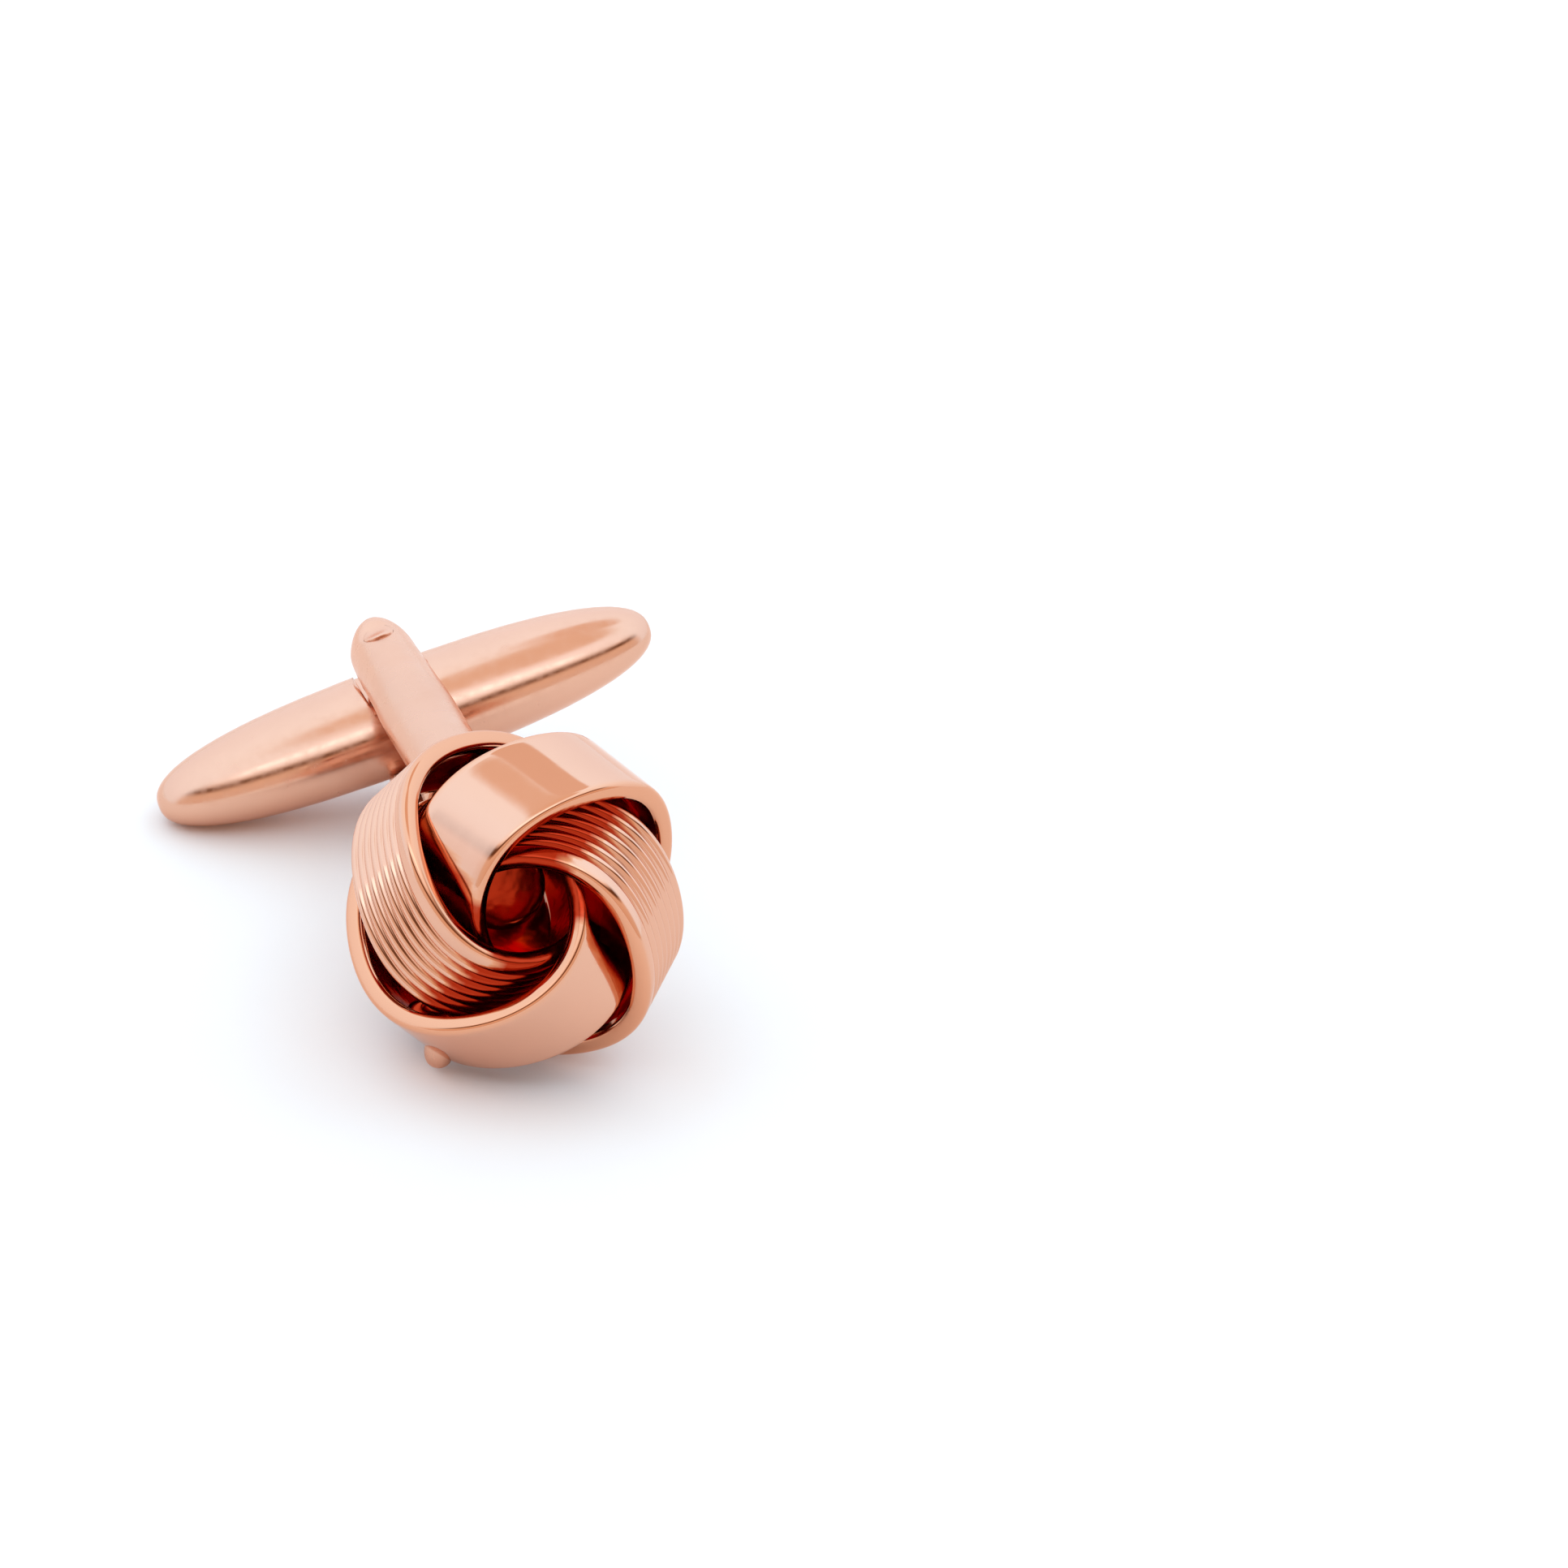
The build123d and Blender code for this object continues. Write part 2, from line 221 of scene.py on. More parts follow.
hoop_axis = Vector((
    sin(hoop_lean) * cos(hoop_lean_direction),
    sin(hoop_lean) * sin(hoop_lean_direction),
    cos(hoop_lean),
))
hoop_rise = (Vector((0, 0, 1)) - hoop_axis * hoop_axis.z).normalized()
hoop_side = hoop_axis.cross(hoop_rise)
hoop_in_knot = Matrix((hoop_rise, hoop_side, hoop_axis)).transposed().to_4x4()
hoop_in_knot.translation = (hoop_offset, 0, 0)
knot_in_place = (
    Matrix.Translation((0, -knot_distance, 0))
    @ Matrix.Rotation(radians(90) - knot_tilt, 4, "X")
    @ Matrix.Rotation(knot_spin, 4, "Z")
)


def pick(piece):
    """Selects one piece and nothing else."""
    bpy.ops.object.select_all(action="DESELECT")
    bpy.context.view_layer.objects.active = piece
    piece.select_set(True)


def stop_editing():
    """Leaves edit mode with nothing selected."""
    bpy.ops.mesh.select_all(action="DESELECT")
    bpy.ops.object.mode_set(mode="OBJECT")


def face_outwards():
    """Turns the faces of the edited mesh outwards and leaves edit mode."""
    bpy.ops.mesh.select_all(action="SELECT")
    bpy.ops.mesh.normals_make_consistent(inside=False)
    stop_editing()


def draw_out(step):
    """Draws what is selected in the edited mesh out by a step."""
    bpy.ops.mesh.extrude_region_move(TRANSFORM_OT_translate={"value": step})


def turned_hoop(name, profile):
    """A round hoop about Z, drawn out ring by ring along its closed section of
    (across, outward) points."""
    bpy.ops.object.select_all(action="DESELECT")
    across, outward = profile[0]
    radius = hoop_radius + outward
    bpy.ops.mesh.primitive_circle_add(vertices=band_steps, radius=radius, location=(0, 0, across))
    hoop = bpy.context.object
    hoop.name = name
    bpy.ops.object.transform_apply(location=True)
    bpy.ops.object.mode_set(mode="EDIT")
    bpy.ops.mesh.select_mode(type="EDGE")
    bpy.ops.mesh.select_all(action="SELECT")
    for next_across, next_outward in profile[1:]:
        draw_out((0, 0, next_across - across))
        grow = (hoop_radius + next_outward) / radius
        bpy.ops.transform.resize(value=(grow, grow, 1), center_override=(0, 0, 0))
        across = next_across
        radius = hoop_radius + next_outward
    stop_editing()
    return hoop


def close_section(hoop):
    """Bridges the last ring to the first, so that the wall is closed."""
    bpy.ops.object.mode_set(mode="EDIT")
    bpy.ops.mesh.select_all(action="DESELECT")
    bpy.ops.mesh.select_non_manifold(extend=False)
    bpy.ops.mesh.bridge_edge_loops()
    face_outwards()


def wave(angle, height, times, turn):
    """How far a hand bend of this height pushes the hoop at an angle."""
    return height * cos(times * angle - turn)


def painted_shade_share(angle, across, depth, first_shade):
    """How much painted shade a hoop has at an angle in degrees. The dark red shade and
    reflection of the knot's inside is painted where the hoop dives into the knot, from about the
    first shaded angle on and in the grooves first, and a little painted tan shade lies on the
    rims too. The depth is 0 on a crest and 1 in a groove."""
    past_border = max(0.0, across - half_width * 0.6)
    dive = first_shade + shade_slant * (across + half_width * 0.7) + shade_border_slant * past_border
    share = 0.5 + (angle - dive + groove_lead * depth) / shade_fade
    share = min(1.0, max(0.0, share)) * min(1.0, max(0.0, (shade_end - angle) / shade_end_fade))
    # The rims take a little painted tan shade, starting on their eased corners
    rim = min(1.0, max(0.0, (abs(across) - half_width + band_corner) / (band_corner * 0.6)))
    return max(rim_shade * rim, share * share * (3 - 2 * share))


def bend_by_hand(hoop, groove, first_shade):
    """Pulls the true hoop slightly oval, egg-shaped and twisted, as the bent strips of the
    knot are, and marks on it how much painted shade, tan to deep red, each place takes."""
    shade_mark = hoop.data.attributes.new("painted_knot_shade", "FLOAT", "POINT")
    for vertex in hoop.data.vertices:
        x, y, across = vertex.co
        angle = atan2(y, x)
        outward = hypot(x, y) - hoop_radius
        crest = min(1.0, max(0.0, 1 - (half_thickness - outward) / groove))
        shade_mark.data[vertex.index].value = painted_shade_share(degrees(angle), across, 1 - crest, first_shade)
        flare = radians(flare_mean + flare_swing * cos(angle - flare_turn))
        pushed_out = wave(angle, *oval) + wave(angle, *egg)
        out = hoop_radius + pushed_out - sin(flare) * across + cos(flare) * outward
        pushed_along = wave(angle, *saddle) + wave(angle, *ripple)
        along = pushed_along + cos(flare) * across + sin(flare) * outward
        vertex.co = (out * cos(angle), out * sin(angle), along)


def apply_all_modifiers(piece):
    """Makes the piece's modifiers part of its mesh, and leaves the piece selected."""
    pick(piece)
    for modifier in list(piece.modifiers):
        bpy.ops.object.modifier_apply(modifier=modifier.name)


def round_off(piece):
    """Rounds a piece's facets off and shades it smooth."""
    rounded = piece.modifiers.new("rounded", "SUBSURF")
    rounded.levels = 1
    rounded.render_levels = 1
    apply_all_modifiers(piece)
    bpy.ops.object.shade_smooth()


band_gold = (0.78, 0.42, 0.29)
plate_edge = (1, 0.9, 0.84)
# Painted shade: tan where it begins, on the rims and at the knot's edge, then the deep red of the
# shade and reflection inside the knot
painted_tan_shade = (0.80, 0.37, 0.20, 1)
painted_knot_shade = (0.44, 0.034, 0.010, 1)


def polished_gold(name, colour, edge_colour, roughness, grain_scale, dent_depth):
    """Rose gold plate over brass: a warm pink metal whose colour drifts a little, with
    faint rubbing marks in its polish and a very slight unevenness from the buffing. Where
    the mesh is marked with painted shade it turns tan and then deep red, the shade and
    reflection of the knot's dark inside."""
    metal = bpy.data.materials.new(name)
    metal.use_nodes = True
    nodes = metal.node_tree.nodes
    links = metal.node_tree.links
    shader = nodes["Principled BSDF"]
    shader.inputs["Metallic"].default_value = 1
    shader.inputs["Specular Tint"].default_value = (*edge_colour, 1)
    place = nodes.new("ShaderNodeTexCoord")

    def noise(scale, detail):
        """A cloudy pattern that stays with the piece."""
        pattern = nodes.new("ShaderNodeTexNoise")
        pattern.inputs["Scale"].default_value = scale
        pattern.inputs["Detail"].default_value = detail
        links.new(place.outputs["Object"], pattern.inputs["Vector"])
        return pattern

    drift = noise(140, 3)
    tint = nodes.new("ShaderNodeValToRGB")
    tint.color_ramp.elements[0].position = 0.3
    tint.color_ramp.elements[0].color = (*[c * 0.95 for c in colour], 1)
    tint.color_ramp.elements[1].position = 0.7
    tint.color_ramp.elements[1].color = (*colour, 1)
    links.new(drift.outputs["Fac"], tint.inputs["Fac"])
    # The painted shade is mixed into the colour by its marked share, tan first and deep red where
    # it is full
    shade_mark = nodes.new("ShaderNodeAttribute")
    shade_mark.attribute_name = "painted_knot_shade"
    shade_ramp = nodes.new("ShaderNodeValToRGB")
    shade_ramp.color_ramp.elements[0].color = painted_tan_shade
    shade_ramp.color_ramp.elements[1].color = painted_knot_shade
    links.new(shade_mark.outputs["Fac"], shade_ramp.inputs["Fac"])
    shade_onset = nodes.new("ShaderNodeMapRange")
    shade_onset.inputs["From Max"].default_value = 0.22
    links.new(shade_mark.outputs["Fac"], shade_onset.inputs["Value"])
    tint_with_shade = nodes.new("ShaderNodeMix")
    tint_with_shade.data_type = "RGBA"
    links.new(shade_onset.outputs["Result"], tint_with_shade.inputs["Factor"])
    links.new(tint.outputs["Color"], tint_with_shade.inputs["A"])
    links.new(shade_ramp.outputs["Color"], tint_with_shade.inputs["B"])
    links.new(tint_with_shade.outputs["Result"], shader.inputs["Base Color"])
    rubbing = noise(grain_scale, 3)
    dulling = nodes.new("ShaderNodeMapRange")
    dulling.inputs["From Min"].default_value = 0.35
    dulling.inputs["From Max"].default_value = 0.75
    dulling.inputs["To Min"].default_value = roughness * 0.8
    dulling.inputs["To Max"].default_value = roughness * 1.5
    links.new(rubbing.outputs["Fac"], dulling.inputs["Value"])
    links.new(dulling.outputs["Result"], shader.inputs["Roughness"])
    buffing = noise(900, 2)
    dents = nodes.new("ShaderNodeBump")
    dents.inputs["Strength"].default_value = 1
    dents.inputs["Distance"].default_value = dent_depth
    links.new(buffing.outputs["Fac"], dents.inputs["Height"])
    links.new(dents.outputs["Normal"], shader.inputs["Normal"])
    return metal


def paint_inside_shade(hoop, metal):
    """Gives the faces on the inside of the round hoop the dark red metal that paints the shade of
    the knot's hollow.
    """
    hoop.data.materials.append(metal)
    for face in hoop.data.polygons:
        inside = hypot(face.center.x, face.center.y) < inner_face_radius
        face.material_index = 1 if inside else 0


smooth_profile = [
    (half_width, -half_thickness),
    (half_width, half_thickness),
    (half_width * 0.5, half_thickness),
    (-half_width * 0.5, half_thickness),
    (-half_width, half_thickness),
    (-half_width, -half_thickness),
    (0, -half_thickness),
]
smooth_metal = polished_gold(
    "polished rose gold", band_gold, plate_edge,
    roughness=0.07, grain_scale=2500, dent_depth=0.000004,
)
# The inside of the knot is a deep red metal: painted shade for the dark hollow and the many
# reflections in it
knot_shade_metal = polished_gold(
    "dark inside, painted shade", (0.46, 0.035, 0.010), (0.5, 0.06, 0.02),
    roughness=0.15, grain_scale=1200, dent_depth=0.00004,
)


def twin_of(hoop, name):
    """A second hoop, the same as the first."""
    twin = hoop.copy()
    twin.data = hoop.data.copy()
    twin.name = name
    bpy.context.collection.objects.link(twin)
    return twin


def finish_band(hoop, metal, quarter_turns, node):
    """Lays the bent hoop in its place in the knot and lets it stand for its solid. Where it
    is wholly in painted shade it has the dark red metal of its inside."""
    shade_mark = hoop.data.attributes["painted_knot_shade"].data
    for face in hoop.data.polygons:
        if min(shade_mark[index].value for index in face.vertices) > wholly_shaded:
            face.material_index = 1
    round_the_knot = Matrix.Rotation(radians(-90.0 * quarter_turns), 4, "Z")
    hoop.data.transform(laid_down @ knot_in_place @ round_the_knot @ hoop_in_knot)
    hoop.data.update()
    hoop.data.materials[0] = metal
    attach(hoop, "knot_and_bracket")
    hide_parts(node)


smooth_hoop = turned_hoop("smooth_strip_top", smooth_profile)
close_section(smooth_hoop)
eased = smooth_hoop.modifiers.new("eased corners", "BEVEL")
eased.width = band_corner
eased.segments = 4
eased.angle_limit = radians(40)
apply_all_modifiers(smooth_hoop)
smooth_hoop.data.materials.append(smooth_metal)
paint_inside_shade(smooth_hoop, knot_shade_metal)
bend_by_hand(smooth_hoop, band_thickness, first_shade=20)
round_off(smooth_hoop)
smooth_twin = twin_of(smooth_hoop, "smooth_strip_bottom")
finish_band(smooth_hoop, smooth_metal, 0, "smooth_band_top")
finish_band(smooth_twin, smooth_metal, 2, "smooth_band_bottom")

# Ribbed bands: the same strip, but rolled with seven round ribs along its outer face. One
# edge keeps a plain border, which is the edge that shows on the front of the knot.
rib_count = 7
rib_height = 0.00017
rib_border = 0.0008
rib_margin = 0.00014
rib_pitch = (band_width - rib_border - rib_margin) / rib_count
back_corner = 0.00012
border_start = half_width - rib_border
ribbed_profile = [
    (half_width, -half_thickness + band_corner),
    (half_width, half_thickness - band_corner),
    (half_width - band_corner * 0.13, half_thickness - band_corner * 0.5),
    (half_width - band_corner * 0.5, half_thickness - band_corner * 0.13),
    (half_width - band_corner, half_thickness),
    (half_width - rib_border * 0.6, half_thickness),
    (border_start + rib_margin, half_thickness - rib_height * 0.1),
    (border_start + 0.00005, half_thickness - rib_height * 0.5),
]
for rib in range(rib_count):
    rib_start = border_start - rib * rib_pitch
    ribbed_profile.append((rib_start, half_thickness - rib_height))
    for share in (0.14, 0.32, 0.5, 0.68, 0.86):
        crest = rib_height * (1 - (2 * share - 1) ** 2) ** 0.8
        rib_place = rib_start - share * rib_pitch
        ribbed_profile.append((rib_place, half_thickness - rib_height + crest))
ribbed_profile += [
    (-half_width + 0.00008, half_thickness - rib_height),
    (-half_width, half_thickness - rib_height - 0.0001),
    (-half_width, -half_thickness + back_corner),
    (-half_width + back_corner, -half_thickness),
    (0, -half_thickness),
    (half_width - band_corner, -half_thickness),
    (half_width - band_corner * 0.5, -half_thickness + band_corner * 0.13),
    (half_width - band_corner * 0.13, -half_thickness + band_corner * 0.5),
]
ribbed_metal = polished_gold(
    "ribbed rose gold", band_gold, plate_edge,
    roughness=0.08, grain_scale=2500, dent_depth=0.000004,
)
ribbed_hoop = turned_hoop("ribbed_strip_right", ribbed_profile)
close_section(ribbed_hoop)
ribbed_hoop.data.materials.append(ribbed_metal)
paint_inside_shade(ribbed_hoop, knot_shade_metal)
bend_by_hand(ribbed_hoop, rib_height, first_shade=12)
round_off(ribbed_hoop)
ribbed_twin = twin_of(ribbed_hoop, "ribbed_strip_left")
finish_band(ribbed_hoop, ribbed_metal, 1, "ribbed_band_right")
finish_band(ribbed_twin, ribbed_metal, 3, "ribbed_band_left")

# Bracket: one brass casting. Two domed arms with thumb-shaped ends hold the bar's pin, meet
# in a neck behind the knot, and go on as a round stem with a button end, soldered inside it.
arm_width = 0.0029
arm_gap = 0.0046
arm_thickness = 0.00135
arm_edge = 0.0004
eye_radius = 0.00125
eye_reach = 0.0006
eye_taper = 0.0055
eye_full_height = 0.0012
eye_crown = 1.2
eye_end_height = 0.45
eye_squareness = 0.7
bend_radius = 0.0015
neck_overlap = 0.0004
crotch_height = 0.0038
crotch_rise = 0.0005
crotch_tip_share = 0.15
crotch_tip_rise = 0.0004
upper_bend = 0.0108
upper_slope = radians(32)
lower_bend = 0.0086
lower_slope = radians(28)
neck_start = 0.0108
neck_end = 0.0136
seat_radius = 0.006317
stem_radius = 0.0013
stem_length = 0.004292
button_radius = 0.00175
button_thickness = 0.0008
boss_radius = 0.00122
boss_height = 0.00085
pin_radius = 0.0006
pin_seat_gap = 0.00001
pin_head_radius = 0.00085
pin_head_sink = 0.0002
dome_rise = arm_thickness - arm_edge
dome_radius = ((arm_width / 2) ** 2 + dome_rise**2) / (2 * dome_rise)
fitting_gold = (0.78, 0.428, 0.297)
cast_metal = polished_gold(
    "cast rose gold", fitting_gold, plate_edge,
    roughness=0.26, grain_scale=700, dent_depth=0.000001,
)


def arm_rings():
    """The (place, half width, height as a share) of the rings along an arm to its tip."""
    rings = []
    for share in (1.0, 0.75, 0.5, 0.25, 0.0):
        place = eye_reach - share * (eye_taper + eye_reach)
        width = eye_radius + share * (arm_width / 2 - eye_radius)
        height = eye_crown + share**0.7 * (1 - eye_crown)
        rings.append((place, width, height))
    for lean in (14, 27, 39, 50, 60, 69, 77, 84):
        place = eye_reach + eye_radius * sin(radians(lean))
        width = eye_radius * cos(radians(lean)) ** eye_squareness
        past = max(0.0, place - eye_full_height) / (eye_reach + eye_radius - eye_full_height)
        roundness = (1 - past**2.2) ** 0.5
        height = eye_crown * (eye_end_height + (1 - eye_end_height) * roundness)
        rings.append((place, width, height))
    return rings


def drawn_arm(name, bend, slope):
    """One arm above the bar: its domed section is drawn out to the thumb-shaped eye, and
    the other way round a short bend and down the slope to the neck."""
    inner = arm_gap / 2
    bpy.ops.object.select_all(action="DESELECT")
    bpy.ops.mesh.primitive_circle_add(
        vertices=72,
        radius=dome_radius,
        location=(0, -bend, inner + arm_thickness - dome_radius),
        rotation=(radians(90), 0, 0),
    )
    arm = bpy.context.object
    arm.name = name
    bpy.ops.object.transform_apply(location=True, rotation=True)
    bpy.ops.object.mode_set(mode="EDIT")
    bpy.ops.mesh.select_mode(type="VERT")
    bpy.ops.mesh.select_all(action="SELECT")
    bpy.ops.mesh.bisect(
        plane_co=(0, -bend, inner + arm_edge), plane_no=(0, 0, 1), clear_inner=True
    )
    stop_editing()
    for vertex in sorted(arm.data.vertices, key=lambda vertex: vertex.co.z)[:2]:
        vertex.select = True
    bpy.ops.object.mode_set(mode="EDIT")
    draw_out((0, 0, -arm_edge))
    bpy.ops.mesh.select_all(action="SELECT")
    bpy.ops.mesh.edge_face_add()
    bpy.ops.mesh.select_mode(type="FACE")
    middle = (0, 0, inner)
    here = -bend
    width = arm_width / 2
    height = 1.0
    for place, next_width, next_height in arm_rings():
        draw_out((0, place - here, 0))
        bpy.ops.transform.resize(
            value=(next_width / width, 1, next_height / height), center_override=middle
        )
        here = place
        width = next_width
        height = next_height
    stop_editing()
    for face in arm.data.polygons:
        face.select = abs(face.center.y + bend) < 0.000001
    bpy.ops.object.mode_set(mode="EDIT")
    bpy.ops.mesh.delete(type="ONLY_FACE")
    bpy.ops.mesh.select_mode(type="EDGE")
    bpy.ops.mesh.select_non_manifold(extend=False)
    bend_middle = (0, -bend, inner - bend_radius)
    bpy.ops.mesh.spin(steps=5, angle=-slope, center=bend_middle, axis=(1, 0, 0))
    length = (inner + neck_overlap) / sin(slope)
    draw_out((0, -cos(slope) * length, -sin(slope) * length))
    bpy.ops.mesh.edge_face_add()
    bpy.ops.mesh.select_all(action="SELECT")
    bpy.ops.mesh.remove_doubles(threshold=0.000001)
    face_outwards()
    return arm


def turned_rod(name, rings):
    """A round solid about Z, drawn out ring by ring through (height, radius) and capped."""
    bpy.ops.object.select_all(action="DESELECT")
    here, radius = rings[0]
    bpy.ops.mesh.primitive_circle_add(
        vertices=64, radius=radius, location=(0, 0, here), fill_type="NGON"
    )
    rod = bpy.context.object
    rod.name = name
    bpy.ops.object.transform_apply(location=True)
    bpy.ops.object.mode_set(mode="EDIT")
    bpy.ops.mesh.select_mode(type="FACE")
    bpy.ops.mesh.select_all(action="SELECT")
    for place, next_radius in rings[1:]:
        draw_out((0, 0, place - here))
        grow = next_radius / radius
        bpy.ops.transform.resize(value=(grow, grow, 1), center_override=(0, 0, place))
        here = place
        radius = next_radius
    face_outwards()
    return rod


def join_with(piece, other, operation):
    """Joins another closed shape to the piece, or cuts it away."""
    boolean = piece.modifiers.new("joined", "BOOLEAN")
    boolean.operation = operation
    boolean.object = other
    apply_all_modifiers(piece)
    bpy.data.objects.remove(other)


def shade_between_corners(piece):
    """Shades a piece smooth, apart from its sharp corners."""
    pick(piece)
    bpy.ops.object.shade_smooth_by_angle(angle=radians(40))


bracket = drawn_arm("cast_bracket", upper_bend, upper_slope)
lower_arm = drawn_arm("lower_arm", lower_bend, lower_slope)
bpy.ops.object.mode_set(mode="EDIT")
bpy.ops.mesh.select_all(action="SELECT")
bpy.ops.transform.resize(value=(1, 1, -1), center_override=(0, 0, 0))
face_outwards()
join_with(bracket, lower_arm, "UNION")

# The crotch between the arms is filled where they come together
bpy.ops.object.select_all(action="DESELECT")
bpy.ops.mesh.primitive_cube_add(size=1, location=(0, -(neck_start + neck_end) / 2, crotch_rise))
crotch = bpy.context.object
crotch.scale = (arm_width, neck_end - neck_start, crotch_height)
bpy.ops.object.transform_apply(location=True, scale=True)
bpy.ops.object.mode_set(mode="EDIT")
bpy.ops.mesh.select_mode(type="FACE")
stop_editing()
for face in crotch.data.polygons:
    face.select = face.normal.y < -0.9
bpy.ops.object.mode_set(mode="EDIT")
bpy.ops.transform.resize(
    value=(1, 1, crotch_tip_share), center_override=(0, 0, crotch_tip_rise)
)
stop_editing()
join_with(bracket, crotch, "UNION")

# It is filed to a hollow that keeps clear of the bands, all but the stem
bpy.ops.object.select_all(action="DESELECT")
bpy.ops.mesh.primitive_uv_sphere_add(
    segments=96, ring_count=64, radius=seat_radius, location=(0, -knot_distance, 0)
)
hollow = bpy.context.object
bpy.ops.object.transform_apply(location=True)
join_with(bracket, hollow, "DIFFERENCE")
button_start = stem_length - button_thickness
stem = turned_rod("stem", [
    (0, stem_radius),
    (button_start, stem_radius),
    (button_start + 0.00002, button_radius * 0.93),
    (button_start + 0.00012, button_radius),
    (stem_length - 0.00025, button_radius),
    (stem_length - 0.0001, button_radius * 0.96),
    (stem_length, button_radius * 0.84),
])
stem_foot = Matrix.Translation((0, 0, -(seat_radius + arm_thickness / 2)))
stem.data.transform(knot_in_place @ stem_foot)
join_with(bracket, stem, "UNION")
for side in (1, -1):
    inner = side * arm_gap / 2
    boss = turned_rod("boss", [
        (inner + side * 0.0002, boss_radius),
        (inner - side * (boss_height - 0.0001), boss_radius),
        (inner - side * boss_height, boss_radius * 0.93),
    ])
    join_with(bracket, boss, "UNION")

# Casting and tumbling leave no sharp corner. A remesh can't have cells much smaller than
# these, so the casting is ten times its size while its corners are softened.
bracket.data.transform(Matrix.Scale(10, 4))
recast = bracket.modifiers.new("recast", "REMESH")
recast.mode = "VOXEL"
recast.voxel_size = 0.0012
tumbled = bracket.modifiers.new("tumbled", "SMOOTH")
tumbled.factor = 0.6
tumbled.iterations = 18
evened = bracket.modifiers.new("evened", "SUBSURF")
evened.levels = 1
evened.render_levels = 1
apply_all_modifiers(bracket)
bracket.data.transform(Matrix.Scale(0.1, 4))


hollow_depth = 0.00017
hollow_radius = 0.00075
hollow_x = -0.0001
hollow_y = 0.00025


def filed_hollow(x, y):
    """How deep the pin's end was filed into the arm's dome, at a place on the eye."""
    away = hypot(x - hollow_x, (y - hollow_y) * 0.95) / hollow_radius
    return hollow_depth * max(0.0, 1 - away**2) ** 2


outer_face = arm_gap / 2 + arm_thickness
for vertex in bracket.data.vertices:
    if vertex.co.z > outer_face * 0.8:
        vertex.co.z -= filed_hollow(vertex.co.x, vertex.co.y)
bracket.data.update()
hole = turned_rod("hole", [
    (-outer_face * 1.2, pin_radius + pin_seat_gap),
    (outer_face * 1.3, pin_radius + pin_seat_gap),
])
join_with(bracket, hole, "DIFFERENCE")
head_seat = turned_rod("head_seat", [
    (-outer_face * 1.2, pin_head_radius + pin_seat_gap),
    (pin_head_sink + pin_seat_gap - outer_face, pin_head_radius + pin_seat_gap),
])
join_with(bracket, head_seat, "DIFFERENCE")
bracket.data.transform(laid_down)
bracket.data.update()
bracket.data.materials.clear()
bracket.data.materials.append(cast_metal)
bracket.data.materials.append(knot_shade_metal)
# The stem and button in the knot's hollow take the dark red inside metal, a painted shade
knot_middle = laid_down @ knot_in_place.translation
knot_shade_reach = seat_radius * 0.9
for face in bracket.data.polygons:
    face.material_index = 1 if (face.center - knot_middle).length < knot_shade_reach else 0
shade_between_corners(bracket)
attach(bracket, "knot_and_bracket")
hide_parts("bracket")

# Solder: a drop that ran out under the knot when its strips were joined and was plated over,
# and a lump of it that fills the corner between two strips inside, dark red with the knot's painted
# shade
drop = turned_rod("solder_drop", [
    (0.00012, 0.00012),
    (0.00015, 0.00026),
    (0.00026, 0.00042),
    (0.00046, 0.00053),
    (0.0007, 0.00057),
    (0.0010, 0.00056),
    (0.0014, 0.0005),
    (0.0019, 0.0004),
])
drop.data.transform(Matrix.Translation((-0.003, -0.0092, 0.00008)))
drop.data.materials.append(cast_metal)
lump = turned_rod("solder_lump", [
    (-0.0006, 0.00012),
    (-0.00054, 0.00035),
    (-0.0003, 0.00065),
    (0, 0.00078),
    (0.0003, 0.00066),
    (0.00054, 0.00036),
    (0.0006, 0.00012),
])
lump.data.transform(Matrix.Diagonal((1.35, 1, 1.1, 1)))
lump.data.transform(Matrix.Translation((-0.0033, -0.0085, 0.0021)))
lump.data.materials.append(knot_shade_metal)
for solder in (drop, lump):
    round_off(solder)
    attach(solder, "knot_and_bracket")

# Pin: a brass rivet through the arms and the bar. Its upper end is filed down with the
# arm's dome to a shallow hollow, so it hardly shows. Its lower end has a low round head.
pin_head_height = 0.0004
pin_top = arm_gap / 2 + arm_thickness * eye_crown - 0.000005
pin = turned_rod("pivot_rivet", [
    (-outer_face - pin_head_height, pin_head_radius * 0.12),
    (-outer_face - pin_head_height * 0.97, pin_head_radius * 0.3),
    (-outer_face - pin_head_height * 0.78, pin_head_radius * 0.6),
    (-outer_face - pin_head_height * 0.42, pin_head_radius * 0.86),
    (-outer_face - pin_head_height * 0.1, pin_head_radius * 0.98),
    (-outer_face, pin_head_radius),
    (pin_head_sink - outer_face, pin_head_radius),
    (pin_head_sink - outer_face + 0.000001, pin_radius),
    (pin_top - 0.00001, pin_radius),
    *[(pin_top, pin_radius * share) for share in (0.98, 0.85, 0.7, 0.55, 0.4, 0.25, 0.1)],
])
for vertex in pin.data.vertices:
    x, y, z = vertex.co
    if z > 0:
        across = x * arm_width / 2 / eye_radius
        fall = eye_crown * (dome_radius - (dome_radius**2 - across**2) ** 0.5)
        vertex.co.z = z - fall - filed_hollow(x, y)
pin.data.transform(laid_down)
pin.data.update()
pin.data.materials.append(cast_metal)
shade_between_corners(pin)
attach(pin, "knot_and_bracket")
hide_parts("pivot_pin")

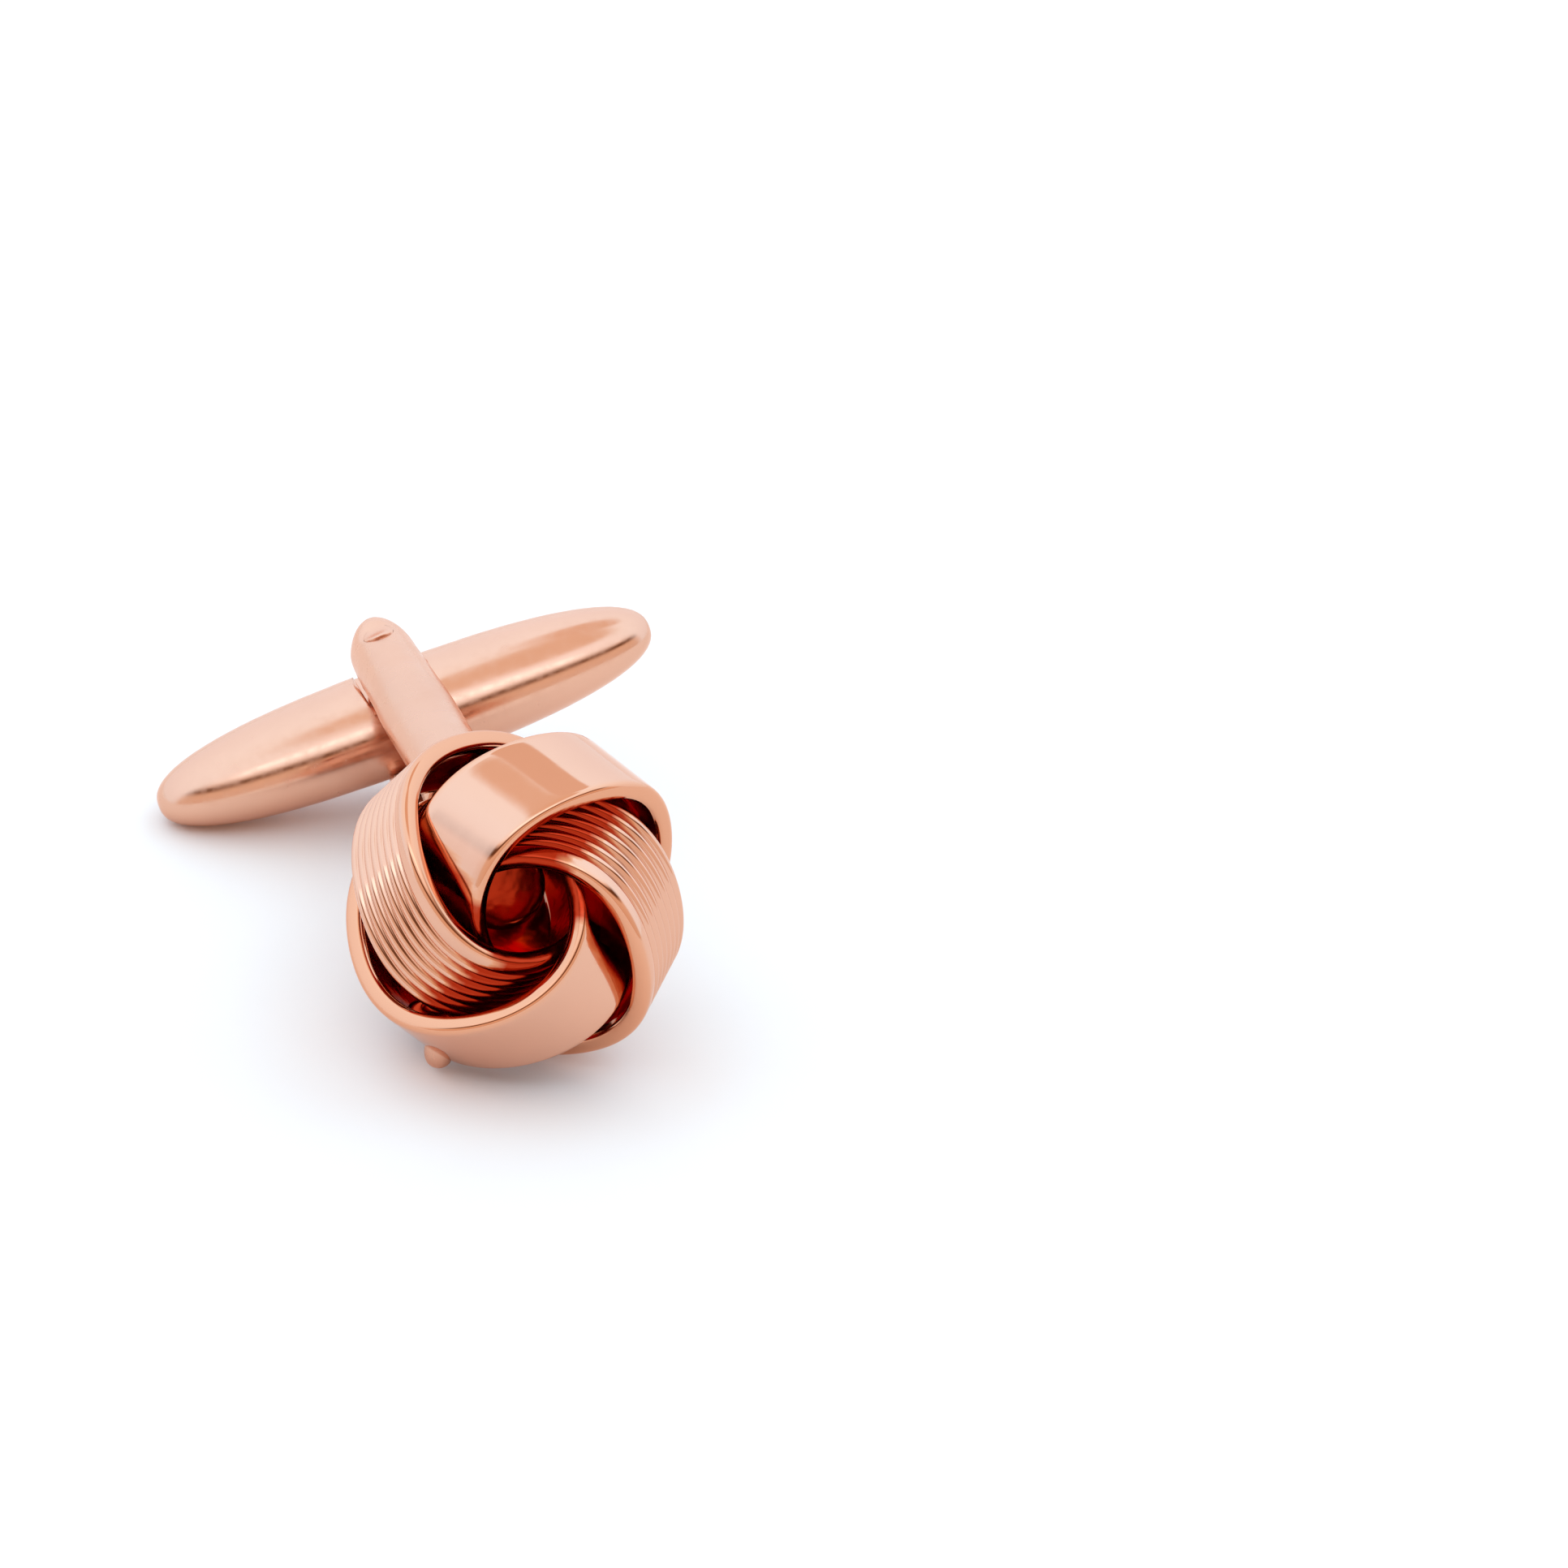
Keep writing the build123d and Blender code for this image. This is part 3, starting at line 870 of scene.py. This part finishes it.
# Bar: a solid brass torpedo, turned and pressed a little flat, then polished. Its waist is
# milled down to a tongue that swivels on the pin between two rounded shoulders.
bar_length = 0.0204
bar_height = 0.0051
bar_depth = 0.0040
bar_fullness = 2.5
tongue_thickness = 0.0027
shoulder_start = 0.00126
shoulder_curve = 0.2
shoulder_round = 0.0003
curved_reach = 0.005
bore_radius = 0.00064
bar_metal = polished_gold(
    "polished bar gold", fitting_gold, plate_edge,
    roughness=0.19, grain_scale=2200, dent_depth=0.000002,
)


def bar_swell(distance):
    """The bar's thickness at a distance from its middle, as a share of the greatest."""
    share = min(1.0, abs(distance) / (bar_length / 2))
    return (1 - share**bar_fullness) ** (1 / bar_fullness)


ring_places = [0.0003, 0.0007, 0.001, 0.0012, shoulder_start]
for share in (0.01, 0.04, 0.09, 0.16, 0.26, 0.4, 0.58, 0.8, 1.0, 1.3, 1.8):
    ring_places.append(shoulder_start + shoulder_round * share)
for angle in (74, 70, 66, 62, 58, 54, 50, 46, 42, 38, 34, 30, 26, 22, 18, 14, 10.5, 7.5, 5, 3, 1.5):
    ring_places.append(bar_length / 2 * cos(radians(angle)) ** (2 / bar_fullness))
ring_places = [-place for place in reversed(ring_places)] + [0.0] + ring_places
bpy.ops.object.select_all(action="DESELECT")
bpy.ops.mesh.primitive_circle_add(
    vertices=96, radius=bar_height / 2, location=(ring_places[0], 0, 0),
    rotation=(0, radians(90), 0), fill_type="NGON",
)
bar = bpy.context.object
bar.name = "torpedo_bar"
bpy.ops.object.transform_apply(location=True, rotation=True)
bpy.ops.object.mode_set(mode="EDIT")
bpy.ops.mesh.select_mode(type="FACE")
bpy.ops.mesh.select_all(action="SELECT")
for here, place in zip(ring_places, ring_places[1:]):
    draw_out((place - here, 0, 0))
face_outwards()
for vertex in bar.data.vertices:
    x, y, z = vertex.co
    side = 1 if x > 0 else -1
    angle = atan2(z, y)
    ring = abs(x)
    # The rings near the waist are curved, as the shoulders are. Each round of the loop
    # below lands nearer the place on the bar that such a ring runs through.
    easing = max(0.0, 1 - max(0.0, ring - shoulder_start) / curved_reach)
    easing *= min(1.0, ring / shoulder_start)
    reach = ring
    for _ in range(4):
        y = bar_height / 2 * bar_swell(reach) * cos(angle)
        reach = ring + easing * y**2 / shoulder_curve
    z = bar_depth / 2 * bar_swell(reach) * sin(angle)
    rise = min(1.0, max(0.0, ring - shoulder_start) / shoulder_round)
    full = bar_depth / 2
    limit = tongue_thickness / 2 + (full - tongue_thickness / 2) * (1 - (1 - rise) ** 2) ** 0.5
    z = max(-limit, min(limit, z))
    vertex.co = (side * reach, y, z)
bar.data.update()
bore = turned_rod("bore", [(-bar_depth, bore_radius), (bar_depth, bore_radius)])
join_with(bar, bore, "DIFFERENCE")
bar.data.transform(laid_down)
bar.data.update()
bar.data.materials.clear()
bar.data.materials.append(bar_metal)
shade_between_corners(bar)
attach(bar, "bar")
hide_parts("toggle_bar")
